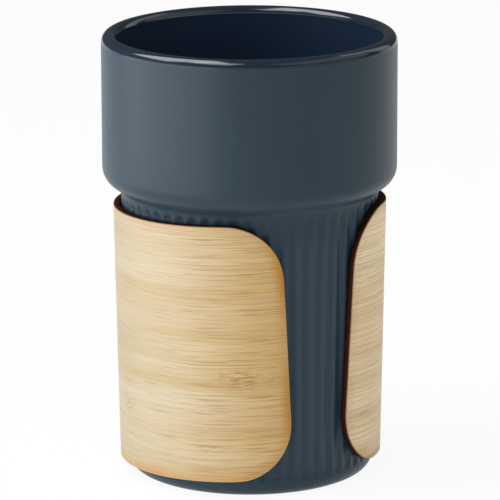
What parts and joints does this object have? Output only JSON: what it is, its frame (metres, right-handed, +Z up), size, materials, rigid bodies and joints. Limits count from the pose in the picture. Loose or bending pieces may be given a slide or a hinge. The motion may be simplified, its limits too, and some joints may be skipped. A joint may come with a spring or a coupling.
{
  "type": "mug with bamboo sleeve",
  "caption": "Handleless ceramic mug: a smooth wide barrel over a narrower fluted wall, gripped by a bent bamboo sleeve with rounded corners and an open gap. The mug lifts out of the sleeve.",
  "frame": {"origin": "on the mug's axis, at the plane that the foot ring stands on", "axes": "+Z up along the mug's axis, out of its mouth; -Y through the middle of the gap in the sleeve"},
  "size_m": [0.08, 0.08, 0.121],
  "materials": {
    "glaze": "satin slate-blue glaze outside, glossy dark glaze on the lip and inside",
    "bamboo": "sanded bamboo face with scorched cut edges"
  },
  "bodies": {
    "sleeve": {"bamboo_sleeve": "bamboo"},
    "mug": {"ceramic_mug": "glaze"}
  },
  "joints": [
    {"name": "mug_lift", "type": "slide", "parent": "sleeve", "child": "mug", "axis": [0, 0, 1], "range_m": [0, 0.08]}
  ]
}
